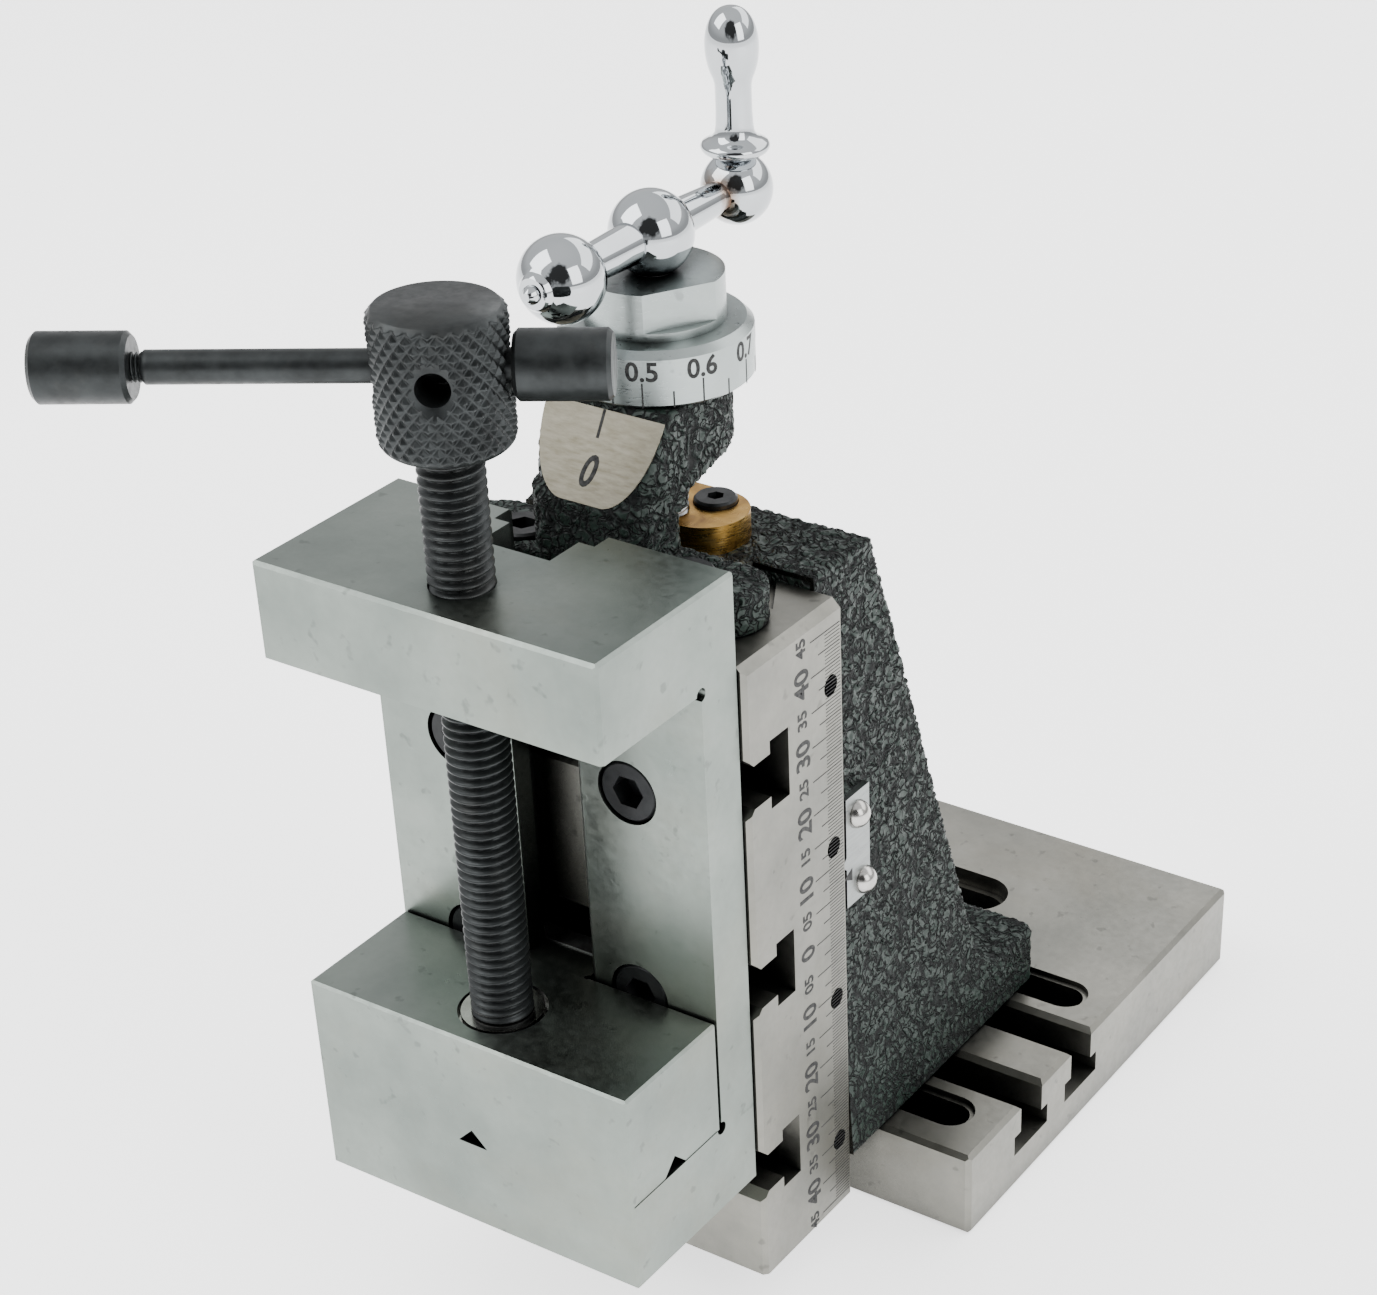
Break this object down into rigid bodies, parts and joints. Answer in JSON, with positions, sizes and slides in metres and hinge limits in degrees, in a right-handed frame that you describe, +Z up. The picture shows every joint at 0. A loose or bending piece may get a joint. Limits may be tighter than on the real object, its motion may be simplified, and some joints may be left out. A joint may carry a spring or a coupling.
{
  "type": "vertical milling slide with vice",
  "caption": "Vertical milling slide: a slotted base and angle casting carry a dovetail slide raised by a ball crank, with a screw vice bolted to its T-slots.",
  "frame": {"origin": "centre of the underside of the base plate", "axes": "+Z up along the slide's travel, +Y from the slide table towards the rear of the base plate, +X towards the scale side of the slide table"},
  "size_m": [0.083, 0.1562, 0.1662],
  "materials": {
    "ground_iron": "ground, with fine scratches and a warm grey tone",
    "vice_steel": "surface ground and polished, pale greenish grey",
    "wrinkle_paint": "dark grey-green wrinkle paint",
    "black_oxide": "black oxide on socket screws",
    "screw_black": "chemically blackened steel, semi-matt",
    "brass": "machined brass with an oily tarnish",
    "aluminium": "rolled aluminium plate, satin",
    "bright_screws": "bright zinc or nickel plate",
    "screw_steel": "turned steel, lightly oiled",
    "satin_chrome": "satin chrome plate",
    "bright_chrome": "mirror chrome plate"
  },
  "bodies": {
    "stand": {"base_plate": "ground_iron", "angle_casting": "wrinkle_paint", "base_plate_screws": "black_oxide", "feed_nut": "brass", "feed_nut_screws": "black_oxide", "pointer_plate": "aluminium", "pointer_screws": "bright_screws"},
    "slide": {"slide_table": "ground_iron", "gib_strip": "ground_iron", "gib_screws": "black_oxide", "screw_bracket": "wrinkle_paint", "screw_bracket_screws": "black_oxide", "vice_body": "vice_steel", "vice_mount_screws": "black_oxide", "vice_t_nuts": "black_oxide"},
    "feed_crank": {"feed_screw": "screw_steel", "graduated_dial": "satin_chrome", "dial_hub": "satin_chrome", "crank_arm": "bright_chrome"},
    "handle": {"crank_handle": "bright_chrome"},
    "jaw": {"moving_jaw": "vice_steel", "jaw_retainer": "screw_steel", "jaw_retainer_screw": "black_oxide", "screw_retaining_ring": "bright_screws"},
    "vice_spindle": {"vice_screw": "screw_black", "knurled_head": "screw_black"},
    "tommy": {"tommy_bar": "screw_black", "bar_cap_left": "screw_black", "bar_cap_right": "screw_black"}
  },
  "joints": [
    {"name": "slide_travel", "type": "slide", "parent": "stand", "child": "slide", "axis": [0, 0, 1], "range_m": [-0.0055, 0.035]},
    {"name": "feed_crank_turn", "type": "hinge", "parent": "slide", "child": "feed_crank", "pos_m": [0, -0.0479, 0.13], "axis": [0, 0, 1], "range_deg": [-1980, 12600]},
    {"name": "handle_spin", "type": "hinge", "parent": "feed_crank", "child": "handle", "pos_m": [0, -0.0296, 0.15], "axis": [0, 0, 1], "continuous": true},
    {"name": "jaw_travel", "type": "slide", "parent": "slide", "child": "jaw", "axis": [0, 0, 1], "range_m": [0, 0.045]},
    {"name": "vice_screw_turn", "type": "hinge", "parent": "jaw", "child": "vice_spindle", "pos_m": [0.0004, -0.08855, 0.1], "axis": [0, 0, 1], "range_deg": [-75, 10]},
    {"name": "tommy_bar_slide", "type": "slide", "parent": "vice_spindle", "child": "tommy", "axis": [0.8508, 0.5255, 0], "range_m": [0, 0.026]}
  ],
  "couplings": [
    {"joint": "feed_crank_turn", "follows": "slide_travel", "rad_per_m": 6283.2}
  ]
}
